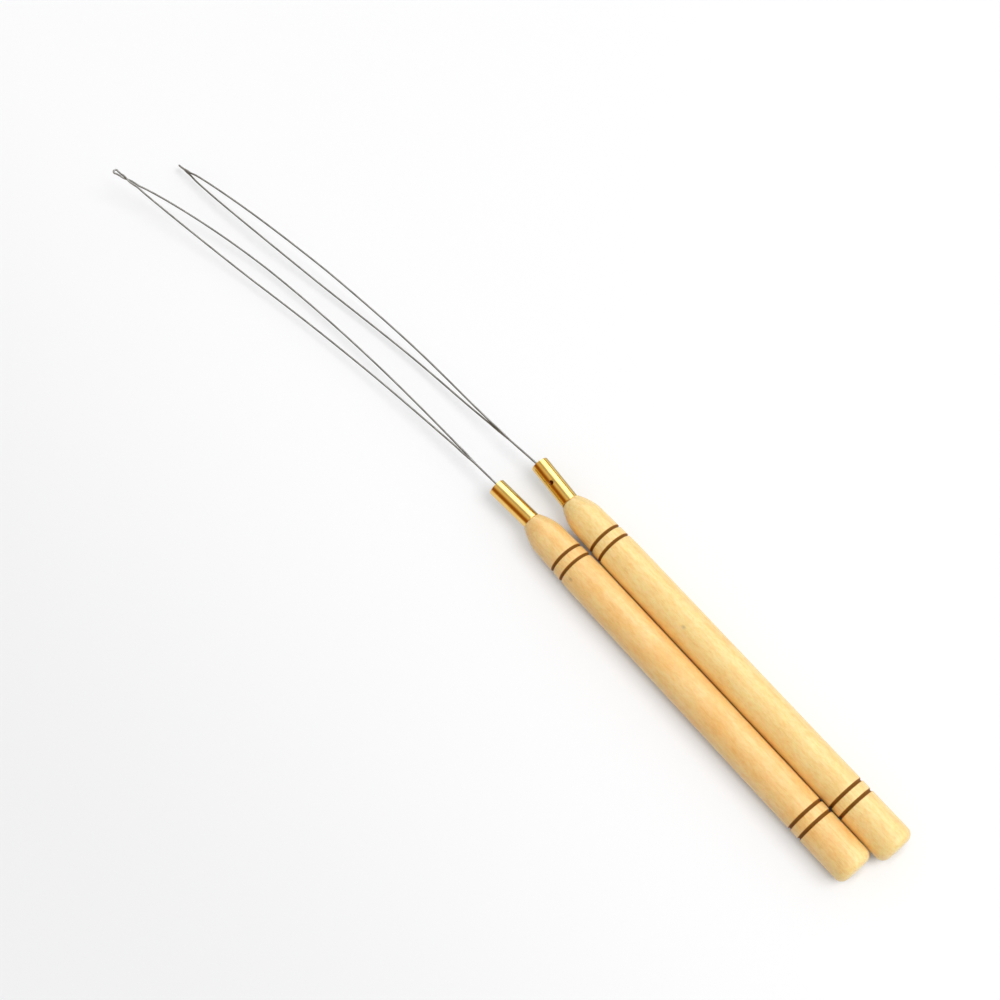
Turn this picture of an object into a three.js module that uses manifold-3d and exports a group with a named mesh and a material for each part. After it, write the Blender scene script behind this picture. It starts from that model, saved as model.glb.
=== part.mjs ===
// A pair of hair extension pulling hooks: turned wooden handles, punched brass ferrules and spring wire loops.
// Millimetres, +Z up. +X runs from the butts to the wire tips, and +Y is the left side seen from the butts.

import * as THREE from 'three';
import { mergeVertices } from 'three/addons/utils/BufferGeometryUtils.js';
import Module from 'manifold-3d';

const wasm = await Module();
wasm.setup();

// Fits and facets
const SEAT_GAP = 0.3;
const ROUND_SIDES = 32;
const WIRE_SIDES = 8;

// Turned handle
const BARREL_RADIUS = 5.5;
const HANDLE_LENGTH = 125;
const BUTT_EDGE_RADIUS = 2.4;
const FRONT_TAPER = 0.8;
const TAPER_BEHIND_GROOVES = 5;
const SHOULDER_LENGTH = 6.5;
const SHOULDER_FULLNESS = 1.8;
const NOSE_RADIUS = 2.95;
const NOSE_EDGE = 0.2;
const EDGE_STEPS = 6;
const SHOULDER_STEPS = 9;

// Two pairs of burnt grooves, one near the butt and one behind the shoulder
const GROOVE_WIDTH = 0.95;
const GROOVE_DEPTH = 0.4;
const GROOVE_SPACING = 3.5;
const REAR_GROOVES_FROM_BUTT = 17.05;
const FRONT_GROOVES_FROM_NOSE = 16;

// Brass ferrule
const FERRULE_RADIUS = 2.6;
const FERRULE_WALL = 0.45;
const FERRULE_LENGTH = 13.8;
const FERRULE_EDGE = 0.12;

// Punch mark that stakes the ferrule to the tenon
const PUNCH_RADIUS = 0.55;
const PUNCH_TIP_RADIUS = 0.3;
const PUNCH_DEPTH = 0.4;
const PUNCH_SIDES = 12;
const PUNCH_FROM_TENON_END = 2.4;

// Resin plug in the ferrule's mouth
const PLUG_LENGTH = 3.6;
const PLUG_RECESS = 0.8;
const PLUG_ARC_STEPS = 10;

// Spring wire, doubled into a loop with an eye at its tip
const WIRE_RADIUS = 0.28;
const LEG_GAP = 0.1;
const LOOP_WIDTH = 5.6;
const SPREAD_ROUNDNESS = 1.3;
const CLOSE_ROUNDNESS = 2;
const EYE_RADIUS = 0.62;
const EYE_STEM = 1.1;
const EYE_OPEN_ANGLE = 125;
const UNTWIST_START_SHARE = 0.5;
const NECK_TWIST_SHARE = 0.75;
const TAIL_DEPTH = 6;
const BORE_SPARE_DEPTH = 0.5;
const TAIL_STEPS = 3;
const DOUBLED_STEPS = 6;
const SPREAD_STEPS = 22;
const CLOSE_STEPS = 18;
const NECK_STEPS = 8;
const EYE_STEPS = 10;

// The pair lies side by side, and the right tool is drawn back a little
const SIDE_GAP = 0.3;
const RIGHT_TOOL_SETBACK = 3;

// How each tool was set by hand: the lean of its ferrule, the rolls of its two legs in degrees (they lie one over
// the other at the mouth, and the left tool's neck is twisted half a turn), the power that blunts the fork behind
// the neck, and the bends as [share of the reach, left of the handle's axis, above the handle's axis].
const LEFT_TOOL = {
  ferruleLean: 2.7,
  punchRoll: 215,
  wireOffset: -0.5,
  reach: 149.6,
  doubledLength: 16.5,
  widestFromMouth: 99,
  neckLength: 6.8,
  forkPower: 0.85,
  rolls: { mouth: -80, loop: -8, eye: -188 },
  bends: [
    [0.15, 1.3, -0.5],
    [0.35, 3.3, -2.0],
    [0.55, 6.55, -2.6],
    [0.75, 11.35, -1.5],
    [0.9, 16.55, 2.7],
    [1, 20.95, 7.0],
  ],
};
const RIGHT_TOOL = {
  ferruleLean: -4.4,
  punchRoll: 26,
  wireOffset: 0.5,
  reach: 146.35,
  doubledLength: 18.3,
  widestFromMouth: 87,
  neckLength: 3.3,
  forkPower: 0.65,
  rolls: { mouth: 104, loop: 54, eye: 100 },
  bends: [
    [0.15, 1.2, -0.5],
    [0.35, 3.15, -1.2],
    [0.55, 6.6, -0.5],
    [0.75, 10.85, 0.9],
    [0.9, 13.9, -0.3],
    [1, 15.65, -2.7],
  ],
};

// Sizes that follow from the ones above
const LEG_PITCH = 2 * WIRE_RADIUS + LEG_GAP;
const BORE_RADIUS = LEG_PITCH / 2 + WIRE_RADIUS + SEAT_GAP;
const FERRULE_BORE = FERRULE_RADIUS - FERRULE_WALL;
const TENON_RADIUS = FERRULE_BORE - SEAT_GAP;
const PLUG_RADIUS = FERRULE_BORE - SEAT_GAP;
const TENON_ROOT = SHOULDER_LENGTH / 2;
const FRONT_GROOVES = HANDLE_LENGTH - FRONT_GROOVES_FROM_NOSE;
const TAPER_START = FRONT_GROOVES - TAPER_BEHIND_GROOVES;
const SHOULDER_END = HANDLE_LENGTH - NOSE_EDGE;
const CUT_MARGIN = 1;

function finish(name, color, roughness, metalness) {
  return new THREE.MeshStandardMaterial({ name, color, roughness, metalness });
}

const wood = finish('wood', 0xf2cd94, 0.45, 0);
const brass = finish('brass', 0xdba338, 0.22, 1);
const steel = finish('steel', 0x9a9a98, 0.3, 1);
const resin = finish('resin', 0xb08a4e, 0.35, 0);

// Where a tool's ferrule sits on its shoulder, all measured along the ferrule's own axis
function seatOf(tool) {
  const lean = THREE.MathUtils.degToRad(tool.ferruleLean);
  const back = SEAT_GAP + FERRULE_RADIUS * Math.abs(Math.sin(lean));
  const mouth = back + FERRULE_LENGTH;
  const plugFront = mouth - PLUG_RECESS;
  const tenonEnd = plugFront - PLUG_LENGTH - SEAT_GAP;
  return { lean, back, mouth, plugFront, tenonEnd };
}

// A solid for joining and cutting, made from a closed geometry
function toSolid(geometry) {
  const bare = geometry.clone();
  bare.deleteAttribute('normal');
  bare.deleteAttribute('uv');
  const merged = mergeVertices(bare);
  return new wasm.Manifold(new wasm.Mesh({
    numProp: 3,
    vertProperties: new Float32Array(merged.attributes.position.array),
    triVerts: new Uint32Array(merged.index.array),
  }));
}

function toGeometry(solid) {
  const mesh = solid.getMesh();
  const geometry = new THREE.BufferGeometry();
  geometry.setAttribute('position', new THREE.BufferAttribute(mesh.vertProperties, 3));
  geometry.setIndex(new THREE.BufferAttribute(mesh.triVerts, 1));
  const faceted = geometry.toNonIndexed();
  faceted.computeVertexNormals();
  return faceted;
}

// Revolves a profile of [distance along X, radius] about the X axis
function turned(profile) {
  const points = profile.map(([along, radius]) => new THREE.Vector2(radius, along));
  const geometry = new THREE.LatheGeometry(points, ROUND_SIDES);
  geometry.rotateZ(-Math.PI / 2);
  return geometry;
}

// A round bar along +X from one distance to another, moved sideways
function bar(radius, from, to, side) {
  const geometry = new THREE.CylinderGeometry(radius, radius, to - from, ROUND_SIDES);
  geometry.rotateZ(-Math.PI / 2);
  geometry.translate((from + to) / 2, side, 0);
  return geometry;
}

// A taper that points at the X axis, between two radii of the tube, at a distance along it and a roll
function punchTaper(outerRadius, innerRadius, grow, along, roll) {
  const slope = (PUNCH_RADIUS - PUNCH_TIP_RADIUS) / PUNCH_DEPTH;
  const wide = PUNCH_TIP_RADIUS + slope * (outerRadius - innerRadius) + grow;
  const narrow = PUNCH_TIP_RADIUS + grow;
  const geometry = new THREE.CylinderGeometry(wide, narrow, outerRadius - innerRadius, PUNCH_SIDES);
  geometry.rotateX(Math.PI / 2);
  geometry.translate(0, 0, (outerRadius + innerRadius) / 2);
  geometry.rotateX(-THREE.MathUtils.degToRad(roll));
  geometry.translate(along, 0, 0);
  return geometry;
}

// The barrel's radius at a distance from the butt: full, then a slow taper from behind the front grooves
function barrelRadius(along) {
  const share = Math.max(0, (along - TAPER_START) / (SHOULDER_END - TAPER_START));
  return BARREL_RADIUS - FRONT_TAPER * share;
}

// Two burnt grooves, each a round-bottomed notch in the barrel
function groovePair(middle) {
  const half = GROOVE_WIDTH / 2;
  const flank = GROOVE_DEPTH * Math.sin(Math.PI / 3);
  const notch = [[-half, 0], [-half / 2, flank], [0, GROOVE_DEPTH], [half / 2, flank], [half, 0]];
  return [middle - GROOVE_SPACING / 2, middle + GROOVE_SPACING / 2].flatMap((centre) => (
    notch.map(([offset, depth]) => [centre + offset, barrelRadius(centre + offset) - depth])
  ));
}

function handleProfile() {
  const profile = [[0, 0]];
  for (let i = 0; i <= EDGE_STEPS; i++) {
    const angle = (i / EDGE_STEPS) * Math.PI / 2;
    profile.push([
      BUTT_EDGE_RADIUS * (1 - Math.cos(angle)),
      BARREL_RADIUS - BUTT_EDGE_RADIUS * (1 - Math.sin(angle)),
    ]);
  }
  profile.push(...groovePair(REAR_GROOVES_FROM_BUTT));
  profile.push([TAPER_START, BARREL_RADIUS]);
  profile.push(...groovePair(FRONT_GROOVES));
  for (let i = 0; i <= SHOULDER_STEPS; i++) {
    const share = i / SHOULDER_STEPS;
    const along = SHOULDER_END - SHOULDER_LENGTH * (1 - share);
    const fall = (BARREL_RADIUS - FRONT_TAPER - NOSE_RADIUS) * Math.pow(share, SHOULDER_FULLNESS);
    profile.push([along, barrelRadius(along) - fall]);
  }
  profile.push([HANDLE_LENGTH, NOSE_RADIUS - NOSE_EDGE]);
  profile.push([HANDLE_LENGTH, 0]);
  return profile;
}

// The handle: a turned body, its leaning tenon, the bore for the tails and the dent under the punch mark
function makeHandle(tool) {
  const { lean, tenonEnd } = seatOf(tool);
  const placed = (geometry) => {
    geometry.rotateZ(lean);
    geometry.translate(HANDLE_LENGTH, 0, 0);
    return toSolid(geometry);
  };
  const body = toSolid(turned(handleProfile()));
  const tenon = placed(bar(TENON_RADIUS, -TENON_ROOT, tenonEnd, 0));
  const boreEnd = tenonEnd - TAIL_DEPTH - BORE_SPARE_DEPTH;
  const bore = placed(bar(BORE_RADIUS, boreEnd, tenonEnd + CUT_MARGIN, tool.wireOffset));
  const dentFloor = FERRULE_BORE - PUNCH_DEPTH - SEAT_GAP;
  const punchAlong = tenonEnd - PUNCH_FROM_TENON_END;
  const dent = placed(punchTaper(FERRULE_BORE, dentFloor, SEAT_GAP, punchAlong, tool.punchRoll));
  return toGeometry(body.add(tenon).subtract(bore).subtract(dent));
}

// The ferrule: a tube with eased edges, its wall pressed inwards at the punch mark
function makeFerrule(tool) {
  const { back, mouth, tenonEnd } = seatOf(tool);
  const tube = toSolid(turned([
    [back, FERRULE_BORE],
    [mouth - FERRULE_EDGE, FERRULE_BORE],
    [mouth, FERRULE_BORE + FERRULE_EDGE],
    [mouth, FERRULE_RADIUS - FERRULE_EDGE],
    [mouth - FERRULE_EDGE, FERRULE_RADIUS],
    [back + FERRULE_EDGE, FERRULE_RADIUS],
    [back, FERRULE_RADIUS - FERRULE_EDGE],
    [back, FERRULE_BORE],
  ].reverse()));
  const along = tenonEnd - PUNCH_FROM_TENON_END;
  const pressed = (outer, inner) => toSolid(punchTaper(outer, inner, 0, along, tool.punchRoll));
  const boss = pressed(FERRULE_BORE + FERRULE_WALL / 2, FERRULE_BORE - PUNCH_DEPTH);
  const pit = pressed(FERRULE_RADIUS + PUNCH_DEPTH, FERRULE_RADIUS - PUNCH_DEPTH);
  return toGeometry(tube.add(boss).subtract(pit));
}

// The plug: a disc in the ferrule's mouth, with the slot that the two tails pass through
function makePlug(tool) {
  const { plugFront } = seatOf(tool);
  const roll = THREE.MathUtils.degToRad(tool.rolls.mouth);
  const slotRadius = WIRE_RADIUS + SEAT_GAP;
  const slotDirection = new THREE.Vector2(Math.sin(roll), Math.cos(roll));
  const left = new THREE.Vector2(0, tool.wireOffset).addScaledVector(slotDirection, LEG_PITCH / 2);
  const right = new THREE.Vector2(0, tool.wireOffset).addScaledVector(slotDirection, -LEG_PITCH / 2);
  const outline = new THREE.Shape().absarc(0, 0, PLUG_RADIUS, 0, 2 * Math.PI, false);
  const slot = new THREE.Path();
  slot.absarc(left.x, left.y, slotRadius, -roll, Math.PI - roll, false);
  slot.absarc(right.x, right.y, slotRadius, Math.PI - roll, 2 * Math.PI - roll, false);
  outline.holes.push(slot);
  const geometry = new THREE.ExtrudeGeometry(outline, {
    depth: PLUG_LENGTH,
    bevelEnabled: false,
    curveSegments: PLUG_ARC_STEPS,
  });
  geometry.rotateY(Math.PI / 2);
  geometry.translate(plugFront - PLUG_LENGTH, 0, 0);
  return geometry;
}

// The distance between the two legs, at a distance from the mouth along the loop's middle line
function legSpread(tool, distance, neckStart) {
  if (distance <= tool.doubledLength || distance >= neckStart) {
    return LEG_PITCH;
  }
  const extra = LOOP_WIDTH - LEG_PITCH;
  const widest = tool.widestFromMouth;
  if (distance < widest) {
    const left = (widest - distance) / (widest - tool.doubledLength);
    return LEG_PITCH + extra * (1 - Math.pow(left, SPREAD_ROUNDNESS));
  }
  const gone = (distance - widest) / (neckStart - widest);
  return LEG_PITCH + extra * Math.pow(1 - Math.pow(gone, CLOSE_ROUNDNESS), tool.forkPower);
}

// The roll of the two legs, which turns where they lie together: behind the loop and in the neck
function legRoll(tool, distance, stemStart) {
  const { mouth, loop, eye } = tool.rolls;
  const untwistStart = UNTWIST_START_SHARE * tool.doubledLength;
  const twistStart = stemStart - NECK_TWIST_SHARE * tool.neckLength;
  const untwisted = THREE.MathUtils.smoothstep(distance, untwistStart, tool.doubledLength);
  const twisted = THREE.MathUtils.smoothstep(distance, twistStart, stemStart);
  return mouth + (loop - mouth) * untwisted + (eye - loop) * twisted;
}

// The direction from the right leg to the left one, rolled about the wire's own direction
function acrossLegs(forward, rollDegrees) {
  const roll = THREE.MathUtils.degToRad(rollDegrees);
  const side = new THREE.Vector3(0, 0, 1).cross(forward).normalize();
  const lift = new THREE.Vector3().crossVectors(forward, side);
  return side.multiplyScalar(Math.cos(roll)).addScaledVector(lift, -Math.sin(roll));
}

// Distances that split each stretch of the loop evenly into its own number of steps
function evenStations(stretches) {
  const stations = [];
  for (const [from, to, steps] of stretches) {
    for (let i = 0; i < steps; i++) {
      stations.push(from + (to - from) * i / steps);
    }
  }
  return stations;
}

// A smooth curve with one extrusion step on each of its points
class StationCurve extends THREE.CatmullRomCurve3 {
  getUtoTmapping(share) {
    return share;
  }
}

// The middle line of the loop, from the ferrule's mouth to the middle of the eye
function loopSpine(tool, mouthPoint) {
  const points = [mouthPoint];
  for (const [share, left, up] of tool.bends) {
    points.push(new THREE.Vector3(mouthPoint.x + share * tool.reach, left, up));
  }
  return new THREE.CatmullRomCurve3(points);
}

// The points of the whole wire: left tail, left leg, eye, right leg and right tail
function wirePoints(tool) {
  const { lean, mouth, tenonEnd } = seatOf(tool);
  const ferruleForward = new THREE.Vector3(Math.cos(lean), Math.sin(lean), 0);
  const ferruleSide = new THREE.Vector3(-Math.sin(lean), Math.cos(lean), 0);
  const inFerrule = (distance) => new THREE.Vector3(HANDLE_LENGTH, 0, 0)
    .addScaledVector(ferruleForward, distance)
    .addScaledVector(ferruleSide, tool.wireOffset);
  const left = [];
  const right = [];
  const addPair = (centre, across, spread) => {
    left.push(centre.clone().addScaledVector(across, spread / 2));
    right.unshift(centre.clone().addScaledVector(across, -spread / 2));
  };

  const tailAcross = acrossLegs(ferruleForward, tool.rolls.mouth);
  for (const distance of evenStations([[tenonEnd - TAIL_DEPTH, mouth, TAIL_STEPS]])) {
    addPair(inFerrule(distance), tailAcross, LEG_PITCH);
  }

  const spine = loopSpine(tool, inFerrule(mouth));
  const length = spine.getLength();
  const stemStart = length - EYE_STEM;
  const neckStart = stemStart - tool.neckLength;
  const stretches = [
    [0, tool.doubledLength, DOUBLED_STEPS],
    [tool.doubledLength, tool.widestFromMouth, SPREAD_STEPS],
    [tool.widestFromMouth, neckStart, CLOSE_STEPS],
    [neckStart, stemStart, NECK_STEPS],
  ];
  for (const distance of evenStations(stretches)) {
    const forward = spine.getTangentAt(distance / length);
    const across = acrossLegs(forward, legRoll(tool, distance, stemStart));
    addPair(spine.getPointAt(distance / length), across, legSpread(tool, distance, neckStart));
  }

  const eyeCentre = spine.getPointAt(1);
  const eyeForward = spine.getTangentAt(1);
  const eyeAcross = acrossLegs(eyeForward, tool.rolls.eye);
  const eye = [];
  for (let i = 0; i <= EYE_STEPS; i++) {
    const angle = THREE.MathUtils.degToRad(EYE_OPEN_ANGLE * (1 - 2 * i / EYE_STEPS));
    eye.push(eyeCentre.clone()
      .addScaledVector(eyeForward, EYE_RADIUS * Math.cos(angle))
      .addScaledVector(eyeAcross, EYE_RADIUS * Math.sin(angle)));
  }
  return [...left, ...eye, ...right];
}

function makeWire(tool) {
  const points = wirePoints(tool);
  const section = new THREE.Shape();
  for (let i = 0; i < WIRE_SIDES; i++) {
    const angle = 2 * Math.PI * i / WIRE_SIDES;
    const corner = [WIRE_RADIUS * Math.cos(angle), WIRE_RADIUS * Math.sin(angle)];
    if (i === 0) {
      section.moveTo(...corner);
    } else {
      section.lineTo(...corner);
    }
  }
  section.closePath();
  return new THREE.ExtrudeGeometry(section, {
    steps: points.length - 1,
    extrudePath: new StationCurve(points, false, 'centripetal'),
  });
}

function addMesh(parent, name, geometry, material) {
  const mesh = new THREE.Mesh(geometry, material);
  mesh.name = name;
  parent.add(mesh);
}

// One whole tool, with its handle's axis on X and its butt at the origin
function makeTool(side, tool) {
  const group = new THREE.Group();
  addMesh(group, `${side}_handle`, makeHandle(tool), wood);
  addMesh(group, `${side}_wire_loop`, makeWire(tool), steel);
  const ferruleGroup = new THREE.Group();
  ferruleGroup.position.x = HANDLE_LENGTH;
  ferruleGroup.rotation.z = seatOf(tool).lean;
  addMesh(ferruleGroup, `${side}_ferrule`, makeFerrule(tool), brass);
  addMesh(ferruleGroup, `${side}_mouth_plug`, makePlug(tool), resin);
  group.add(ferruleGroup);
  return group;
}

const pair = new THREE.Group();
const leftTool = makeTool('left', LEFT_TOOL);
leftTool.position.z = BARREL_RADIUS;
const rightTool = makeTool('right', RIGHT_TOOL);
rightTool.position.set(-RIGHT_TOOL_SETBACK, -2 * BARREL_RADIUS - SIDE_GAP, BARREL_RADIUS);
pair.add(leftTool, rightTool);

// The origin is the middle of the pair's box, on the surface that the handles rest on
pair.updateMatrixWorld(true);
const box = new THREE.Box3().setFromObject(pair, true);
pair.position.set(-(box.min.x + box.max.x) / 2, -(box.min.y + box.max.y) / 2, -box.min.z);

export default pair;
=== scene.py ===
# A pair of hair extension pulling hooks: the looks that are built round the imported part, in metres.
# +X runs from the butts to the wire tips, +Y is the left side seen from the butts, and +Z is up.
import math

import bmesh
import bpy
from mathutils import Matrix, Vector
from mathutils.geometry import interpolate_bezier


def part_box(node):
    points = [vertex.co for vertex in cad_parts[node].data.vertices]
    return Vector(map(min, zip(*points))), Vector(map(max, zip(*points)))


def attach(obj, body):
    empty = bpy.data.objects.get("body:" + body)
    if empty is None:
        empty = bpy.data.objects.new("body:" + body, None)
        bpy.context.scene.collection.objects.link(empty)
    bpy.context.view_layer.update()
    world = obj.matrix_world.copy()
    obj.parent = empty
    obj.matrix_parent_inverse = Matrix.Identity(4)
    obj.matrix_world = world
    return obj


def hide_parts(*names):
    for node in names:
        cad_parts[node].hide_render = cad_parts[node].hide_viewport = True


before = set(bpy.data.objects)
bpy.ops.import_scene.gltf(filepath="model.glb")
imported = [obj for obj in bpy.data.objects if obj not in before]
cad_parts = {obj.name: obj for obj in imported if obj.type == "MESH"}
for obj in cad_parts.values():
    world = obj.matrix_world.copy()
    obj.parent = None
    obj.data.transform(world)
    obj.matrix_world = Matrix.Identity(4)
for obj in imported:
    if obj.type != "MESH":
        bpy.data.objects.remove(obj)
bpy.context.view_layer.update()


# The photograph is taken from above the butts, a little to the left tool's side, with a lens of some 65 mm on
# a frame 36 mm wide. The camera's place and turns are fitted to the outlines of the handles and wires.
CAMERA_PLACE = (-0.163147, 0.067142, 0.46997)
CAMERA_TURNS = (19.11553, 6.13113, -130.48145)

camera_data = bpy.data.cameras.new("camera")
camera_data.sensor_width = 36
camera_data.lens = 65.0
camera_data.clip_start = 0.01
camera = bpy.data.objects.new("camera", camera_data)
camera.location = CAMERA_PLACE
camera.rotation_euler = [math.radians(turn) for turn in CAMERA_TURNS]
bpy.context.scene.collection.objects.link(camera)
bpy.context.scene.camera = camera


# A wide softbox behind the butts, on the right tool's side, gives the soft shadow to the left of the handles.
# Its share of the light on the paper is set, and its power follows from its distance.
LAMP_SHARE = 0.44
LAMP_DISTANCE = 2.5
LAMP_SIZE = 1.5
LAMP_WAY = (-0.5, -0.42, 1.1)

to_lamp = Vector(LAMP_WAY).normalized()
lamp_data = bpy.data.lights.new("softbox", "AREA")
lamp_data.shape = "DISK"
lamp_data.size = LAMP_SIZE
lamp_data.energy = LAMP_SHARE * math.pi ** 2 * LAMP_DISTANCE ** 2 / to_lamp.z
lamp = bpy.data.objects.new("softbox", lamp_data)
lamp.location = to_lamp * LAMP_DISTANCE
lamp.rotation_euler = to_lamp.to_track_quat("Z", "Y").to_euler()
bpy.context.scene.collection.objects.link(lamp)


# The room: a pale dome for the soft light, a little brighter on the right side, and an even background.
# Polished surfaces see a studio with bright panels low on the right and a brown wall on the left, given by
# its colours at angles from the top, in degrees.
DOME_LEVEL = 0.615
DOME_SLOPE = 0.14
BACKGROUND_LEVEL = 0.96
ROOM_PEAK = 4.0
ROOM_FROM_RIGHT_TO_LEFT = [
    (-90, (0.22, 0.2, 0.12)), (-80, (0.3, 0.28, 0.2)), (-70, (2.4, 2.4, 2.4)), (-60, (3.8, 3.8, 3.8)),
    (-45, (3.8, 3.8, 3.8)), (-28, (2.5, 2.5, 2.6)), (-17, (0.85, 0.88, 0.95)), (-6, (0.46, 0.48, 0.52)),
    (12, (0.85, 0.74, 0.52)), (28, (0.7, 0.55, 0.3)), (42, (0.36, 0.18, 0.03)), (52, (0.28, 0.1, 0.01)),
    (70, (0.3, 0.11, 0.01)), (80, (0.55, 0.33, 0.1)), (90, (0.9, 0.75, 0.5)),
]


def add_node(tree, kind, **settings):
    node = tree.nodes.new(kind)
    for name, value in settings.items():
        setattr(node, name, value)
    return node


def wire_up(tree, node, **inputs):
    """Sets or links a node's inputs by name, with _ for a space; i0, i1 and so on are numbered ones."""
    for name, value in inputs.items():
        key = int(name[1:]) if name[0] == "i" and name[1:].isdigit() else name.replace("_", " ")
        if isinstance(value, bpy.types.NodeSocket):
            tree.links.new(value, node.inputs[key])
        else:
            node.inputs[key].default_value = value
    return node


def math_node(tree, operation, *values, clamp=False):
    node = add_node(tree, "ShaderNodeMath", operation=operation, use_clamp=clamp)
    return wire_up(tree, node, **{f"i{k}": value for k, value in enumerate(values)}).outputs[0]


def mix_colours(tree, factor, first, second, blend="MIX"):
    node = add_node(tree, "ShaderNodeMix", data_type="RGBA", blend_type=blend)
    wire_up(tree, node, i0=factor, i6=first, i7=second)
    return node.outputs[2]


def ramp_node(tree, factor, stops, interpolation="LINEAR"):
    """A colour ramp through (place, colour) stops, where a plain number is a grey."""
    node = add_node(tree, "ShaderNodeValToRGB")
    node.color_ramp.interpolation = interpolation
    while len(node.color_ramp.elements) < len(stops):
        node.color_ramp.elements.new(0.5)
    for element, (place, colour) in zip(node.color_ramp.elements, stops):
        element.position = place
        element.color = (colour, colour, colour, 1) if isinstance(colour, (int, float)) else (*colour, 1)
    tree.links.new(factor, node.inputs[0])
    return node.outputs[0]


world = bpy.data.worlds.new("studio")
bpy.context.scene.world = world
world.use_nodes = True
tree = world.node_tree
tree.nodes.clear()
direction = add_node(tree, "ShaderNodeSeparateXYZ")
tree.links.new(add_node(tree, "ShaderNodeTexCoord").outputs["Generated"], direction.inputs[0])
lean = math_node(tree, "ARCTAN2", direction.outputs["Y"], direction.outputs["Z"])
share = math_node(tree, "MULTIPLY_ADD", lean, 1 / math.pi, 0.5)
panels = []
for angle, colour in ROOM_FROM_RIGHT_TO_LEFT:
    panels.append(((angle + 90) / 180, tuple(level / ROOM_PEAK for level in colour)))
room = ramp_node(tree, share, panels, "EASE")
path = add_node(tree, "ShaderNodeLightPath")
seen = math_node(tree, "MAXIMUM", path.outputs["Is Camera Ray"], path.outputs["Is Transmission Ray"])
dome_level = math_node(tree, "MULTIPLY_ADD", direction.outputs["Y"], -DOME_SLOPE, DOME_LEVEL)
level = math_node(tree, "MULTIPLY_ADD", path.outputs["Is Glossy Ray"],
                  math_node(tree, "SUBTRACT", ROOM_PEAK, dome_level), dome_level)
level = math_node(tree, "MULTIPLY_ADD", seen, math_node(tree, "SUBTRACT", BACKGROUND_LEVEL, level), level)
colour = mix_colours(tree, path.outputs["Is Glossy Ray"], (1, 1, 1, 1), room)
background = wire_up(tree, add_node(tree, "ShaderNodeBackground"), Color=colour, Strength=level)
tree.links.new(background.outputs[0], add_node(tree, "ShaderNodeOutputWorld").inputs["Surface"])


# The white paper that the tools lie on. It lifts itself to the photograph's white, but not under and between
# the tools, which paints their contact shade on it, and a little less on the left side, a painted shade away
# from the softbox. Far from the tools it runs into the background.
PAPER_HALF = 4.0
PAPER_WHITE = (0.64, 0.64, 0.645, 1)
PAPER_SPECULAR = 0.15
PAPER_ROUGHNESS = 0.85
PAPER_GRAIN_STRENGTH = 0.25
PAPER_GRAIN_DEPTH = 0.00005
PAPER_LIFT = 0.34
LEFT_LIFT_SHARE = 0.72
LEFT_FALL_END = 0.16
FADE_START = 0.5
FADE_END = 1.6
CONTACT_REACH = 0.004
CONTACT_RAMP = [(0.42, 0.0), (0.72, 1.0)]
FIBRE_SCALE = 900.0


def finish_piece(name, bm, material):
    """Turns a bmesh into a smooth-shaded object that sits at the origin."""
    mesh = bpy.data.meshes.new(name)
    bm.to_mesh(mesh)
    bm.free()
    mesh.shade_smooth()
    mesh.materials.append(material)
    piece = bpy.data.objects.new(name, mesh)
    bpy.context.scene.collection.objects.link(piece)
    return piece


def new_material(name):
    """A new material that holds a Principled shader, with its node tree and that shader."""
    material = bpy.data.materials.new(name)
    material.use_nodes = True
    tree = material.node_tree
    tree.nodes.clear()
    shader = add_node(tree, "ShaderNodeBsdfPrincipled")
    tree.links.new(shader.outputs[0], add_node(tree, "ShaderNodeOutputMaterial").inputs["Surface"])
    return material, tree, shader


def vector_node(tree, operation, *values):
    """A vector maths node over vectors, which gives a number where it measures a length or a distance."""
    node = add_node(tree, "ShaderNodeVectorMath", operation=operation)
    wire_up(tree, node, **{f"i{k}": value for k, value in enumerate(values)})
    return node.outputs["Value" if operation in ("LENGTH", "DISTANCE") else "Vector"]


def smooth_range(tree, value, first, last, low, high):
    """A smooth change from low to high as the value goes from first to last."""
    node = add_node(tree, "ShaderNodeMapRange", interpolation_type="SMOOTHSTEP")
    wire_up(tree, node, Value=value, From_Min=first, From_Max=last, To_Min=low, To_Max=high)
    return node.outputs["Result"]


def bump_node(tree, height, strength, distance):
    node = add_node(tree, "ShaderNodeBump")
    return wire_up(tree, node, Height=height, Strength=strength, Distance=distance).outputs[0]


paper_material, tree, shader = new_material("white_paper")
coordinates = add_node(tree, "ShaderNodeTexCoord").outputs["Object"]
fibre = wire_up(tree, add_node(tree, "ShaderNodeTexNoise"), Vector=coordinates, Scale=FIBRE_SCALE, Detail=3.0)
path = add_node(tree, "ShaderNodeLightPath")
seen = math_node(tree, "MAXIMUM", path.outputs["Is Camera Ray"], path.outputs["Is Glossy Ray"])
seen = math_node(tree, "MAXIMUM", seen, path.outputs["Is Transmission Ray"])
# Painted contact shade: the lift falls away where the tools are near, under and between them.
contact = wire_up(tree, add_node(tree, "ShaderNodeAmbientOcclusion", samples=8), Distance=CONTACT_REACH)
open_share = ramp_node(tree, contact.outputs["AO"], CONTACT_RAMP)
# Painted shade: a little less lift on the left side, away from the softbox.
leftwards = wire_up(tree, add_node(tree, "ShaderNodeSeparateXYZ"), Vector=coordinates).outputs["Y"]
fall = smooth_range(tree, leftwards, 0.0, LEFT_FALL_END, 1.0, LEFT_LIFT_SHARE)
lift = math_node(tree, "MULTIPLY", math_node(tree, "MULTIPLY", open_share, fall), PAPER_LIFT)
far = smooth_range(tree, vector_node(tree, "LENGTH", coordinates), FADE_START, FADE_END, 0.0, 1.0)
lift = math_node(tree, "MULTIPLY_ADD", far, math_node(tree, "SUBTRACT", BACKGROUND_LEVEL, lift), lift)
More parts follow.
